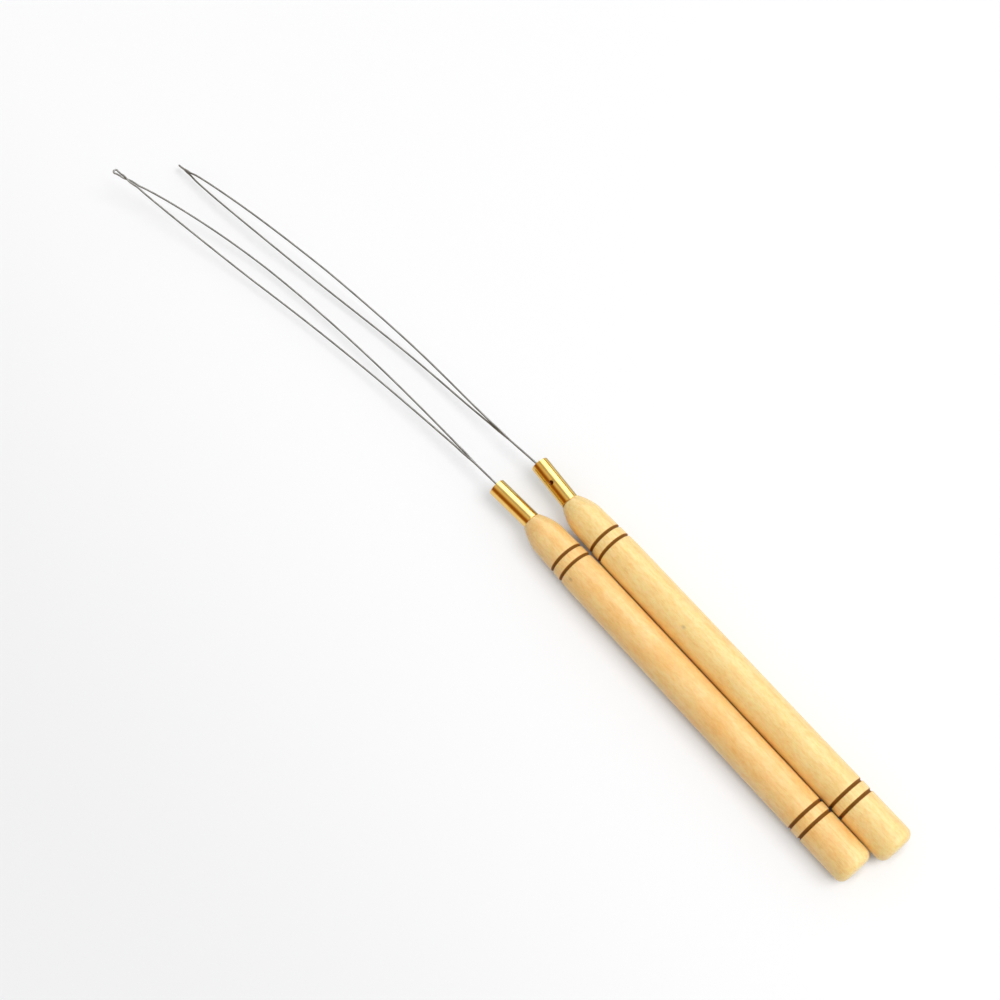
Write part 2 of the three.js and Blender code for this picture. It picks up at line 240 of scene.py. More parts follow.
wire_up(tree, shader, Base_Color=mix_colours(tree, far, PAPER_WHITE, (0, 0, 0, 1)), Roughness=PAPER_ROUGHNESS,
        Specular_IOR_Level=math_node(tree, "MULTIPLY_ADD", far, -PAPER_SPECULAR, PAPER_SPECULAR),
        Normal=bump_node(tree, fibre.outputs["Fac"], PAPER_GRAIN_STRENGTH, PAPER_GRAIN_DEPTH),
        Emission_Color=(1, 1, 1, 1), Emission_Strength=math_node(tree, "MULTIPLY", seen, lift))
bm = bmesh.new()
bmesh.ops.create_grid(bm, x_segments=8, y_segments=8, size=PAPER_HALF)
paper = finish_piece("paper", bm, paper_material)


# Two handles turned from a pale, close-grained hardwood and lacquered: a straight barrel with two pairs of
# grooves burnt in by a wire, a shoulder, and a tenon that leans a little, so that the ferrule driven on it
# leans too. The right handle is the paler one, and a painted highlight makes both paler at the butt. Sizes
# are in millimetres.
MM = 0.001
HANDLE_LENGTH = 125
BARREL_RADIUS = 5.5
BUTT_EDGE_RADIUS = 2.4
BUTT_DOME = 0.1
BUTT_RINGS = (2.3, 1.5, 0.75, 0)
FRONT_TAPER = 0.8
TAPER_START = -21
SHOULDER_LENGTH = 6.5
SHOULDER_FULLNESS = 1.8
NOSE_RADIUS = 2.95
NOSE_EDGE = 0.2
GROOVE_HALF_WIDTH = 0.475
GROOVE_DEPTH = 0.4
GROOVE_SPACING = 3.5
GROOVE_PAIRS = (-16, 17.05 - HANDLE_LENGTH)
# Half of a groove's section, as half widths from its middle and the share of its depth there.
GROOVE_SECTION = [
    (1.5, 0), (1.2, 0.01), (1.05, 0.06), (0.94, 0.2), (0.8, 0.46), (0.6, 0.74), (0.32, 0.94), (0, 1),
]
GROOVE_CLEARANCE = 0.3
CHAR_REACH = 1.25
CHAR_FADE = 0.6
FIT = 0.02
TENON_RADIUS = 2.15 - FIT
TENON_CHAMFER = 0.25
TENON_CHAMFER_MIDDLE = 0.07
TENON_FILLET = 0.1
BORE_RADIUS = 0.66
BORE_DEPTH = 6.5
BORE_CHAMFER = 0.1
BORE_CORNER = 0.05
FERRULE_RADIUS = 2.6
FERRULE_WALL = 0.45
FERRULE_LENGTH = 13.8
CAD_SEAT = 0.3
PLUG_RECESS = 0.8
PLUG_LENGTH = 3.6
PUNCH_FROM_TENON_END = 2.4
PUNCH_RADIUS = 0.6
PUNCH_DEPTH = 0.4
PUNCH_WALL_SHARE = 0.5
PUNCH_LIP_SHARE = 0.5
TURNED_SIDES = 128
WELD_DISTANCE = 1e-5
PUNCH_STEP = 0.08
PUNCH_ZONE = 1
TENON_STEP = 0.8
TENON_FRONT_STEP = 0.4
SHOULDER_STEP = 0.22
LONG_STEP = 2.5
TOOLS = {
    "left": {"lean": 2.7, "punch_roll": 215, "wire_offset": -0.5,
             "grain_place": (0, 0, 0), "paleness": 0.0, "mark": (-20.4, 3.72, 4.06)},
    "right": {"lean": -4.4, "punch_roll": 26, "wire_offset": 0.5,
              "grain_place": (310, 17, -9), "paleness": 0.55, "mark": (-47.4, 1.82, 5.19)},
}


def nose_of(side):
    """The middle of the shoulder's end, in metres. Each tool's pieces are shaped in millimetres from here."""
    low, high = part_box(f"{side}_handle")
    return Vector((low.x + HANDLE_LENGTH * MM, (low.y + high.y) / 2, (low.z + high.z) / 2))


def seat_of(side):
    """The lean of the ferrule, and its places along its own axis: back, mouth, plug front and tenon end."""
    lean = math.radians(TOOLS[side]["lean"])
    back = CAD_SEAT + FERRULE_RADIUS * abs(math.sin(lean))
    mouth = back + FERRULE_LENGTH
    plug_front = mouth - PLUG_RECESS
    return lean, back, mouth, plug_front, plug_front - PLUG_LENGTH - CAD_SEAT


def turn_round(section, closed=False):
    """Spins a section of (along X, radius) points once round the X axis into a closed skin."""
    bm = bmesh.new()
    chain = [bm.verts.new((along, 0, radius)) for along, radius in section]
    for first, second in zip(chain, chain[1:] + chain[:1] if closed else chain[1:]):
        bm.edges.new((first, second))
    bmesh.ops.spin(bm, geom=bm.verts[:] + bm.edges[:], cent=(0, 0, 0), axis=(1, 0, 0), dvec=(0, 0, 0),
                   angle=2 * math.pi, steps=TURNED_SIDES, use_merge=True)
    bmesh.ops.remove_doubles(bm, verts=bm.verts[:], dist=WELD_DISTANCE)
    bmesh.ops.recalc_face_normals(bm, faces=bm.faces[:])
    return bm


def evenly(first, last, step):
    """Distances from first up to last, last left out, in even steps of about the given size."""
    count = max(1, round(abs(last - first) / step))
    return [first + (last - first) * k / count for k in range(count)]


def clamped(value):
    return max(0, min(1, value))


def smooth_share(value, first, last):
    share = clamped((value - first) / (last - first))
    return share * share * (3 - 2 * share)


def press_punch(bm, along, roll, lip):
    """Drives a blunt cone into the wall at a place along X, at a roll from the top towards the left side."""
    inwards = Vector((0, -math.sin(roll), -math.cos(roll)))
    for vert in bm.verts:
        across = vert.co - Vector((along, 0, 0))
        if across.dot(inwards) >= 0:
            continue
        share = (across - inwards * across.dot(inwards)).length / PUNCH_RADIUS
        if share < 1:
            vert.co += inwards * PUNCH_DEPTH * smooth_share(1 - share, 0, PUNCH_WALL_SHARE)
        elif share < 1 + PUNCH_LIP_SHARE:
            vert.co -= inwards * lip * math.sin((share - 1) / PUNCH_LIP_SHARE * math.pi) ** 2


def barrel_radius(x):
    """The barrel's radius at a place along X: it tapers slowly from behind the front grooves to the nose."""
    return BARREL_RADIUS - FRONT_TAPER * max(0, (x - TAPER_START) / (-NOSE_EDGE - TAPER_START))


def handle_section(tenon_end):
    """The handle's outline from the bottom of the bore, over the tenon and barrel, to the butt's middle."""
    bore_end = tenon_end - BORE_DEPTH
    punch = tenon_end - PUNCH_FROM_TENON_END
    section = [(bore_end, 0), (bore_end, BORE_RADIUS - BORE_CORNER), (bore_end + BORE_CORNER, BORE_RADIUS)]
    section += [(tenon_end - BORE_CHAMFER, BORE_RADIUS), (tenon_end, BORE_RADIUS + BORE_CHAMFER)]
    section.append((tenon_end, TENON_RADIUS - TENON_CHAMFER))
    section.append((tenon_end - TENON_CHAMFER_MIDDLE, TENON_RADIUS - TENON_CHAMFER_MIDDLE))
    stations = evenly(tenon_end - TENON_CHAMFER, punch + PUNCH_ZONE, TENON_FRONT_STEP)
    stations += evenly(punch + PUNCH_ZONE, punch - PUNCH_ZONE, PUNCH_STEP)
    stations += evenly(punch - PUNCH_ZONE, 2 * TENON_FILLET, TENON_STEP)
    section += [(x, TENON_RADIUS) for x in stations]
    section += [(TENON_FILLET / 2, TENON_RADIUS + TENON_FILLET / 5), (0, TENON_RADIUS + TENON_FILLET)]
    for turn in (0, 25, 50, 75):
        angle = math.radians(turn)
        section.append((NOSE_EDGE * (math.cos(angle) - 1), NOSE_RADIUS - NOSE_EDGE * (1 - math.sin(angle))))
    shoulder_drop = BARREL_RADIUS - FRONT_TAPER - NOSE_RADIUS
    for x in evenly(-NOSE_EDGE, -NOSE_EDGE - SHOULDER_LENGTH, SHOULDER_STEP):
        share = 1 + (x + NOSE_EDGE) / SHOULDER_LENGTH
        section.append((x, barrel_radius(x) - shoulder_drop * share ** SHOULDER_FULLNESS))
    start = -NOSE_EDGE - SHOULDER_LENGTH
    for pair in GROOVE_PAIRS:
        for centre in (pair + GROOVE_SPACING / 2, pair - GROOVE_SPACING / 2):
            notch = [(centre + place * GROOVE_HALF_WIDTH, depth) for place, depth in GROOVE_SECTION]
            notch += [(2 * centre - x, depth) for x, depth in reversed(notch[:-1])]
            section += [(x, barrel_radius(x)) for x in evenly(start, notch[0][0], LONG_STEP)]
            section += [(x, barrel_radius(x) - GROOVE_DEPTH * depth) for x, depth in notch]
            start = notch[-1][0] - GROOVE_CLEARANCE
    butt_edge = BUTT_EDGE_RADIUS - HANDLE_LENGTH
    section += [(x, BARREL_RADIUS) for x in evenly(start, butt_edge, LONG_STEP)]
    for turn in range(0, 90, 6):
        angle = math.radians(turn)
        section.append((butt_edge - (BUTT_EDGE_RADIUS - BUTT_DOME) * math.sin(angle),
                        BARREL_RADIUS - BUTT_EDGE_RADIUS * (1 - math.cos(angle))))
    flat = BARREL_RADIUS - BUTT_EDGE_RADIUS
    for radius in (flat, *BUTT_RINGS):
        section.append((-HANDLE_LENGTH + BUTT_DOME * (radius / flat) ** 2, radius))
    return section


def build_handle(side, material):
    lean, _, _, _, tenon_end = seat_of(side)
    bm = turn_round(handle_section(tenon_end))
    press_punch(bm, tenon_end - PUNCH_FROM_TENON_END, math.radians(TOOLS[side]["punch_roll"]), 0)
    char = bm.verts.layers.float.new("char")
    centres = [pair + half * GROOVE_SPACING / 2 for pair in GROOVE_PAIRS for half in (1, -1)]
    for vert in bm.verts:
        nearest = min(abs(vert.co.x - centre) for centre in centres) / GROOVE_HALF_WIDTH
        vert[char] = clamped((CHAR_REACH - nearest) / CHAR_FADE) if vert.co.x < 0 else 0
    bore = [v for v in bm.verts if v.co.x > 0 and v.co.yz.length < BORE_RADIUS + 1.5 * BORE_CHAMFER]
    bmesh.ops.translate(bm, verts=bore, vec=(0, TOOLS[side]["wire_offset"], 0))
    tenon = [v for v in bm.verts if v.co.x > TENON_FILLET / 4]
    bmesh.ops.rotate(bm, verts=tenon, cent=(0, 0, 0), matrix=Matrix.Rotation(lean, 3, "Z"))
    bmesh.ops.transform(bm, verts=bm.verts[:], matrix=Matrix.Translation(nose_of(side)) @ Matrix.Scale(MM, 4))
    return finish_piece(f"{side}_handle_turned", bm, material)


def new_group(name, inputs, outputs):
    """An empty shader group with the given sockets, and its input and output nodes."""
    group = bpy.data.node_groups.new(name, "ShaderNodeTree")
    for in_out, sockets in (("INPUT", inputs), ("OUTPUT", outputs)):
        for socket_name, kind in sockets.items():
            group.interface.new_socket(name=socket_name, in_out=in_out, socket_type=f"NodeSocket{kind}")
    return group, group.nodes.new("NodeGroupInput"), group.nodes.new("NodeGroupOutput")


def stretched(tree, vector, stretch):
    return wire_up(tree, add_node(tree, "ShaderNodeMapping"), Vector=vector, Scale=stretch).outputs[0]


def stretched_noise(tree, vector, stretch, detail=2.0, roughness=0.5):
    """A noise from 0 to 1 whose features are 1/stretch millimetres in each direction."""
    noise = add_node(tree, "ShaderNodeTexNoise")
    place = stretched(tree, vector, stretch)
    return wire_up(tree, noise, Vector=place, Scale=1.0, Detail=detail, Roughness=roughness).outputs["Fac"]


# Lacquered hardwood: a mottled straw ground with fine specks, faint growth rings and fibres that run along
# the handle, short pores, one grey mark on each handle, and the burnt grooves' char with its scorched rims.
STRAW = (0.965, 0.690, 0.310, 1)
HONEY = (0.950, 0.600, 0.225, 1)
SPECKLE_TINT = (0.93, 0.84, 0.70, 1)
CREAM = (0.990, 0.800, 0.370, 1)
RING_TINT = (0.94, 0.84, 0.68, 1)
FIBRE_TINT = (0.98, 0.95, 0.90, 1)
PORE_BROWN = (0.62, 0.33, 0.11, 1)
SCORCH = (0.55, 0.27, 0.06, 1)
CHAR = (0.200, 0.075, 0.002, 1)
MARK_GREY = (0.36, 0.27, 0.13, 1)
WOOD_ROUGHNESS = 0.40
FIBRE_ROUGHNESS = 0.14
CHAR_ROUGHNESS = 0.3
LACQUER = 0.4
LACQUER_ROUGHNESS = 0.24
PORE_LACQUER_LOSS = 0.15
CHAR_LACQUER_LOSS = 0.4
RIPPLE_HEIGHT = 0.030
FIBRE_HEIGHT = 0.0035
PORE_DEPTH = 0.010
CHARRED_FIBRE_HEIGHT = 0.03
MARK_STRETCH = (0.7, 1, 1)
PITH = (0, 31, 22)
RING_WIDTH = 1.7
RING_DRIFT = 9.0
RING_STRENGTH = 0.32
PORE_STRENGTH = 0.32
# A painted highlight: the wood is mixed paler over the last millimetres towards the butt end.
SHEEN_FROM_BUTT = 8
SHEEN_FULL_FROM_BUTT = 0.6
BUTT_SHEEN_PALENESS = 0.6

group, inside, outside = new_group(
    "lacquered_hardwood",
    {"Place": "Vector", "Char": "Float", "Mark": "Vector", "Grain Place": "Vector", "Paleness": "Float"},
    {"Color": "Color", "Roughness": "Float", "Coat": "Float", "Height": "Float"},
)
place = inside.outputs["Place"]
grain = vector_node(group, "ADD", place, inside.outputs["Grain Place"])
mottle = stretched_noise(group, grain, (0.1, 0.21, 0.21))
drift = stretched_noise(group, grain, (0.012, 0.07, 0.07))
fibre = stretched_noise(group, grain, (0.22, 6.0, 6.0), detail=3.0)
ripple = stretched_noise(group, grain, (0.11, 0.5, 0.5))
speckle = stretched_noise(group, grain, (0.55, 1.5, 1.5), detail=3.0, roughness=0.65)
from_pith = vector_node(group, "MULTIPLY_ADD", grain, (0.0, 1.0, 1.0), PITH)
warped = math_node(group, "MULTIPLY_ADD", drift, RING_DRIFT, vector_node(group, "LENGTH", from_pith))
ring = math_node(group, "FRACT", math_node(group, "DIVIDE", warped, RING_WIDTH))
ring = ramp_node(group, ring, [(0, 0.25), (0.1, 0.0), (0.55, 0.15), (0.93, 0.9), (1, 0.25)])
cells = add_node(group, "ShaderNodeTexVoronoi", feature="F1")
wire_up(group, cells, Vector=stretched(group, grain, (0.55, 4.2, 4.2)), Scale=1.0, Randomness=1.0)
pore = ramp_node(group, cells.outputs["Distance"], [(0.0, 1.0), (0.12, 0.9), (0.2, 0.0)])
pore = math_node(group, "MULTIPLY", pore, ramp_node(group, mottle, [(0.42, 0.15), (0.62, 1.0)]))
mark_centre = stretched(group, inside.outputs["Mark"], MARK_STRETCH)
from_mark = vector_node(group, "DISTANCE", stretched(group, place, MARK_STRETCH), mark_centre)
mark = ramp_node(group, from_mark, [(0.0, 0.55), (0.3, 0.35), (0.65, 0.0)])
along = wire_up(group, add_node(group, "ShaderNodeSeparateXYZ"), Vector=place).outputs["X"]
# Painted highlight: paler towards the butt end.
butt_sheen = smooth_range(group, along, SHEEN_FROM_BUTT - HANDLE_LENGTH, SHEEN_FULL_FROM_BUTT - HANDLE_LENGTH,
                    0.0, BUTT_SHEEN_PALENESS)
paleness = math_node(group, "MAXIMUM", inside.outputs["Paleness"], butt_sheen)
colour = mix_colours(group, ramp_node(group, mottle, [(0.36, 0.0), (0.68, 1.0)]), STRAW, HONEY)
colour = mix_colours(group, paleness, colour, CREAM)
specks = ramp_node(group, speckle, [(0.42, 0.0), (0.7, 1.0)])
colour = mix_colours(group, specks, colour, SPECKLE_TINT, "MULTIPLY")
colour = mix_colours(group, math_node(group, "MULTIPLY", ring, RING_STRENGTH), colour, RING_TINT, "MULTIPLY")
colour = mix_colours(group, ramp_node(group, fibre, [(0.4, 0.0), (0.7, 1.0)]), colour, FIBRE_TINT, "MULTIPLY")
colour = mix_colours(group, math_node(group, "MULTIPLY", pore, PORE_STRENGTH), colour, PORE_BROWN)
colour = mix_colours(group, mark, colour, MARK_GREY)
rim = math_node(group, "SUBTRACT", fibre, 0.5)
ragged = math_node(group, "MULTIPLY_ADD", rim, 0.5, inside.outputs["Char"])
colour = mix_colours(group, ramp_node(group, ragged, [(0.04, 0.0), (0.5, 1.0)]), colour, SCORCH, "MULTIPLY")
burnt = ramp_node(group, ragged, [(0.4, 0.0), (0.85, 1.0)])
colour = mix_colours(group, burnt, colour, CHAR)
roughness = math_node(group, "MULTIPLY_ADD", fibre, FIBRE_ROUGHNESS, WOOD_ROUGHNESS)
roughness = math_node(group, "MULTIPLY_ADD", burnt, CHAR_ROUGHNESS, roughness)
coat = math_node(group, "MULTIPLY_ADD", pore, -PORE_LACQUER_LOSS, LACQUER)
coat = math_node(group, "MULTIPLY_ADD", burnt, -CHAR_LACQUER_LOSS, coat, clamp=True)
height = math_node(group, "MULTIPLY", fibre, FIBRE_HEIGHT)
height = math_node(group, "MULTIPLY_ADD", ripple, RIPPLE_HEIGHT, height)
height = math_node(group, "MULTIPLY_ADD", pore, -PORE_DEPTH, height)
charred_fibre = math_node(group, "MULTIPLY", fibre, CHARRED_FIBRE_HEIGHT)
height = math_node(group, "MULTIPLY_ADD", burnt, charred_fibre, height)
wire_up(group, outside, Color=colour, Roughness=roughness, Coat=coat, Height=height)


def place_in_mm(tree, origin):
    """Object coordinates in millimetres from a point given in metres."""
    mapping = add_node(tree, "ShaderNodeMapping")
    wire_up(tree, mapping, Vector=add_node(tree, "ShaderNodeTexCoord").outputs["Object"],
            Location=tuple(-origin / MM), Scale=(1 / MM, 1 / MM, 1 / MM))
    return mapping.outputs[0]


for side, tool in TOOLS.items():
    material, tree, shader = new_material(f"{side}_hardwood")
    wood = add_node(tree, "ShaderNodeGroup", node_tree=group)
    char = add_node(tree, "ShaderNodeAttribute", attribute_name="char").outputs["Fac"]
    wire_up(tree, wood, Place=place_in_mm(tree, nose_of(side)), Char=char, Mark=tool["mark"],
            Grain_Place=tool["grain_place"], Paleness=tool["paleness"])
    wire_up(tree, shader, Base_Color=wood.outputs["Color"], Roughness=wood.outputs["Roughness"],
            Coat_Weight=wood.outputs["Coat"], Coat_Roughness=LACQUER_ROUGHNESS, Specular_IOR_Level=0.3,
            Normal=bump_node(tree, wood.outputs["Height"], 1.0, MM),
            Subsurface_Weight=0.35, Subsurface_Radius=(1.0, 0.4, 0.15), Subsurface_Scale=0.004)
    handle = build_handle(side, material)
    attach(handle, f"{side}_tool")
    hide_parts(f"{side}_handle")


# Two ferrules cut from drawn brass tube and pushed on the tenons up to the shoulders. One punch mark in each,
# with a thin raised lip, presses the wall into the wood and keeps the ferrule on; grime and painted shade
# darken its pit. A painted dark reflection darkens the brass on the side that turns down and to the right.
FERRULE_EDGE = 0.12
CORNER_POINTS = 5
FERRULE_STEP = 0.8
FERRULE_PUNCH_ZONE = 1.1
RIM_CLEARANCE = 0.3
SHOULDER_GAP = 0.03
PUNCH_LIP = 0.03
# Grime and painted shade in the punch pit, out to these shares of the punch's radius.
GRIME_AND_SHADE_REACH = 1.4
GRIME_AND_SHADE_FADE = 0.5
# A painted dark reflection on the side turned down and to the right, mixed in by the way the surface faces.
DARK_SIDE_REACH = 0.27
DARK_SIDE_FADE = 0.22
BRASS = (0.86, 0.58, 0.19, 1)
BRASS_RED = (0.82, 0.48, 0.11, 1)
DARK_SIDE_PAINT = (0.36, 0.27, 0.045, 1)
DARK_SIDE_WAY = Vector((0, -0.485, -0.875))
GRIME_AND_SHADE = (0.12, 0.028, 0.006, 1)
BRASS_ROUGHNESS = 0.12
BRASS_LINE_ROUGHNESS = 0.08
GRIME_AND_SHADE_ROUGHNESS = 0.35
LINE_HEIGHT = 0.0012
WAVE_HEIGHT = 0.010


def rounded(corners, radius):
    """A closed outline of (along, radius) corners, with each corner eased by a short arc of five points."""
    outline = []
    for k, corner in enumerate(corners):
        here, before, after = Vector(corner), Vector(corners[k - 1]), Vector(corners[(k + 1) % len(corners)])
        start = here + (before - here).normalized() * radius
        end = here + (after - here).normalized() * radius
        near_start, near_end = start.lerp(here, 0.6), end.lerp(here, 0.6)
        outline += [start, near_start.lerp(near_end, 0.25), start.lerp(end, 0.5).lerp(here, 0.42)]
        outline += [near_end.lerp(near_start, 0.25), end]
    return outline


def build_ferrule(side, material):
    lean, back, mouth, _, tenon_end = seat_of(side)
    punch = tenon_end - PUNCH_FROM_TENON_END
    roll = math.radians(TOOLS[side]["punch_roll"])
    start = back - CAD_SEAT + SHOULDER_GAP
    inner = FERRULE_RADIUS - FERRULE_WALL
    corners = [(start, inner), (start, FERRULE_RADIUS), (mouth, FERRULE_RADIUS), (mouth, inner)]
    corners = rounded(corners, FERRULE_EDGE)
    zone_start, zone_end = punch - FERRULE_PUNCH_ZONE, punch + FERRULE_PUNCH_ZONE
    stations = evenly(start + FERRULE_STEP, zone_start, FERRULE_STEP)
    stations += evenly(zone_start, zone_end, PUNCH_STEP)
    stations += evenly(zone_end, mouth - RIM_CLEARANCE, FERRULE_STEP)
    section = corners[:2 * CORNER_POINTS] + [Vector((x, FERRULE_RADIUS)) for x in stations]
    section += corners[2 * CORNER_POINTS:] + [Vector((x, inner)) for x in reversed(stations)]
    bm = turn_round([tuple(point) for point in section], closed=True)
    press_punch(bm, punch, roll, PUNCH_LIP)
    # Grime and painted shade in the punch pit.
    grime_and_shade = bm.verts.layers.float.new("grime_and_shade")
    # A painted dark reflection on the side turned down and to the right.
    painted_dark_side = bm.verts.layers.float.new("painted_dark_side")
    outwards = Vector((0, math.sin(roll), math.cos(roll)))
    for vert in bm.verts:
        across = vert.co - Vector((punch, 0, 0))
        away = (across - outwards * across.dot(outwards)).length / PUNCH_RADIUS
        marked = across.dot(outwards) > inner
        vert[grime_and_shade] = clamped((GRIME_AND_SHADE_REACH - away) / GRIME_AND_SHADE_FADE) if marked else 0
        # Painted dark reflection: darker where the surface turns down and to the right.
        turned_away = Vector((0, *vert.co.yz)).normalized().dot(DARK_SIDE_WAY)
        vert[painted_dark_side] = clamped((DARK_SIDE_REACH + turned_away) / DARK_SIDE_FADE)
    bmesh.ops.rotate(bm, verts=bm.verts[:], cent=(0, 0, 0), matrix=Matrix.Rotation(lean, 3, "Z"))
    bmesh.ops.transform(bm, verts=bm.verts[:], matrix=Matrix.Translation(nose_of(side)) @ Matrix.Scale(MM, 4))
    return finish_piece(f"{side}_ferrule_tube", bm, material)


# The marks of the drawing die on tube and wire: hairlines along the length and a slight waviness.
drawn_marks, inside, outside = new_group(
    "drawn_marks",
    {"Place": "Vector", "Fineness": "Float"},
    {"Lines": "Float", "Cloud": "Float", "Height": "Float"},
)
fine_place = add_node(drawn_marks, "ShaderNodeVectorMath", operation="SCALE")
wire_up(drawn_marks, fine_place, i0=inside.outputs["Place"], Scale=inside.outputs["Fineness"])
lines = stretched_noise(drawn_marks, fine_place.outputs[0], (0.12, 9.0, 9.0))
cloud = stretched_noise(drawn_marks, inside.outputs["Place"], (0.35, 0.6, 0.6), detail=3.0, roughness=0.6)
wave = stretched_noise(drawn_marks, fine_place.outputs[0], (0.25, 0.8, 0.8))
height = math_node(drawn_marks, "MULTIPLY", lines, LINE_HEIGHT)
height = math_node(drawn_marks, "MULTIPLY_ADD", wave, WAVE_HEIGHT, height)
wire_up(drawn_marks, outside, Lines=lines, Cloud=cloud, Height=height)

brass, tree, shader = new_material("drawn_brass")
marks = add_node(tree, "ShaderNodeGroup", node_tree=drawn_marks)
wire_up(tree, marks, Place=place_in_mm(tree, Vector((0, 0, 0))), Fineness=1.0)
redness = ramp_node(tree, marks.outputs["Cloud"], [(0.35, 0.0), (0.75, 0.8)])
colour = mix_colours(tree, redness, BRASS, BRASS_RED)
# A painted dark reflection darkens the side turned down and to the right.
painted_dark_side = add_node(tree, "ShaderNodeAttribute", attribute_name="painted_dark_side").outputs["Fac"]
# Grime and painted shade darken the punch pit.
grime_and_shade = add_node(tree, "ShaderNodeAttribute", attribute_name="grime_and_shade").outputs["Fac"]
colour = mix_colours(tree, painted_dark_side, colour, DARK_SIDE_PAINT)
colour = mix_colours(tree, grime_and_shade, colour, GRIME_AND_SHADE)
roughness = math_node(tree, "MULTIPLY_ADD", marks.outputs["Lines"], BRASS_LINE_ROUGHNESS, BRASS_ROUGHNESS)
roughness = math_node(tree, "MULTIPLY_ADD", grime_and_shade, GRIME_AND_SHADE_ROUGHNESS, roughness)
wire_up(tree, shader, Base_Color=colour, Metallic=1.0, Roughness=roughness,
        Normal=bump_node(tree, marks.outputs["Height"], 1.0, MM))
for side in TOOLS:
    ferrule = build_ferrule(side, brass)
    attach(ferrule, f"{side}_tool")
    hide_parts(f"{side}_ferrule")


# Two plugs of hard amber resin, poured into the ferrules' mouths round the wires' tails, which lie one over
# the other in a slot. The resin climbs a little up the brass and the wires as it sets.
WIRE_RADIUS = 0.28
LEG_PITCH = 0.66
MOUTH_ROLL = {"left": -80, "right": 104}
PLUG_SIDES = 64
PLUG_RINGS = 7
MENISCUS = 0.22
WALL_CLIMB_REACH = 0.28
WIRE_CLIMB_REACH = 0.16
WIRE_CLIMB_SHARE = 0.6
AMBER = (0.42, 0.24, 0.075, 1)
AMBER_DARK = (0.24, 0.12, 0.035, 1)
RESIN_ROUGHNESS = 0.15
SPECK_ROUGHNESS = 0.2
SPECK_STRENGTH = 0.5
SPECK_DEPTH = 0.00002


def build_plug(side, material):
    lean, _, _, plug_front, _ = seat_of(side)
    roll = math.radians(MOUTH_ROLL[side])
    slot_way = Vector((0, math.cos(roll), -math.sin(roll)))
    slot_middle = Vector((0, TOOLS[side]["wire_offset"], 0))
    wall = FERRULE_RADIUS - FERRULE_WALL - FIT
    bm = bmesh.new()
    facing = Matrix.Rotation(math.pi / 2, 4, "Y")
    rim = bmesh.ops.create_circle(bm, segments=PLUG_SIDES, radius=wall, matrix=facing)["verts"]
    slot = bmesh.ops.create_circle(bm, segments=PLUG_SIDES, radius=WIRE_RADIUS + FIT, matrix=facing)["verts"]
    for vert in slot:
        end = 1 if vert.co.dot(slot_way) > 0 else -1
        vert.co += slot_middle + slot_way * end * LEG_PITCH / 2
    loops = list({edge for vert in rim + slot for edge in vert.link_edges})
    front = bmesh.ops.bridge_loops(bm, edges=loops)
    spokes = [edge for edge in front["edges"] if (edge.verts[0] in slot) != (edge.verts[1] in slot)]
    bmesh.ops.subdivide_edges(bm, edges=spokes, cuts=PLUG_RINGS, use_grid_fill=True)
    sides = bmesh.ops.extrude_face_region(bm, geom=bm.faces[:])
    back = [item for item in sides["geom"] if isinstance(item, bmesh.types.BMVert)]
    for vert in bm.verts:
        to_wall = wall - vert.co.yz.length
        from_slot = vert.co - slot_middle
        along_slot = max(-LEG_PITCH / 2, min(LEG_PITCH / 2, from_slot.dot(slot_way)))
        to_wire = (from_slot - slot_way * along_slot).length - WIRE_RADIUS - FIT
        wall_climb = math.exp(-to_wall / WALL_CLIMB_REACH)
        wire_climb = WIRE_CLIMB_SHARE * math.exp(-to_wire / WIRE_CLIMB_REACH)
        vert.co.x += MENISCUS * (wall_climb + wire_climb - 1)
    for vert in back:
        vert.co.x = -PLUG_LENGTH
    bmesh.ops.recalc_face_normals(bm, faces=bm.faces[:])
    bmesh.ops.translate(bm, verts=bm.verts[:], vec=(plug_front, 0, 0))
    bmesh.ops.rotate(bm, verts=bm.verts[:], cent=(0, 0, 0), matrix=Matrix.Rotation(lean, 3, "Z"))
    bmesh.ops.transform(bm, verts=bm.verts[:], matrix=Matrix.Translation(nose_of(side)) @ Matrix.Scale(MM, 4))
    return finish_piece(f"{side}_mouth_plug_cast", bm, material)


resin, tree, shader = new_material("amber_resin")
resin_place = place_in_mm(tree, Vector((0, 0, 0)))
swirl = stretched_noise(tree, resin_place, (1.4, 1.4, 1.4), detail=3.0)
speck = stretched_noise(tree, resin_place, (9.0, 9.0, 9.0))
colour = mix_colours(tree, ramp_node(tree, swirl, [(0.35, 0.0), (0.65, 1.0)]), AMBER, AMBER_DARK)
roughness = math_node(tree, "MULTIPLY_ADD", speck, SPECK_ROUGHNESS, RESIN_ROUGHNESS)
wire_up(tree, shader, Base_Color=colour, Roughness=roughness, Coat_Weight=0.4, Coat_Roughness=0.1,
        Normal=bump_node(tree, speck, SPECK_STRENGTH, SPECK_DEPTH))
for side in TOOLS:
    plug = build_plug(side, resin)
    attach(plug, f"{side}_tool")
    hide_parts(f"{side}_mouth_plug")


# Two loops of one spring steel wire each, bent double round a pin. The pin leaves the eye at the tip, the
# legs are pinched together behind it, spread into a long loop, and meet again before the ferrule.
LOOP_WIDTH = 5.6
SPREAD_ROUNDNESS = 1.3
CLOSE_ROUNDNESS = 2
EYE_RADIUS = 0.62
EYE_STEM = 1.1
EYE_OPEN_ANGLE = 125
UNTWIST_START_SHARE = 0.5
NECK_TWIST_SHARE = 0.75
TAIL_DEPTH = 6
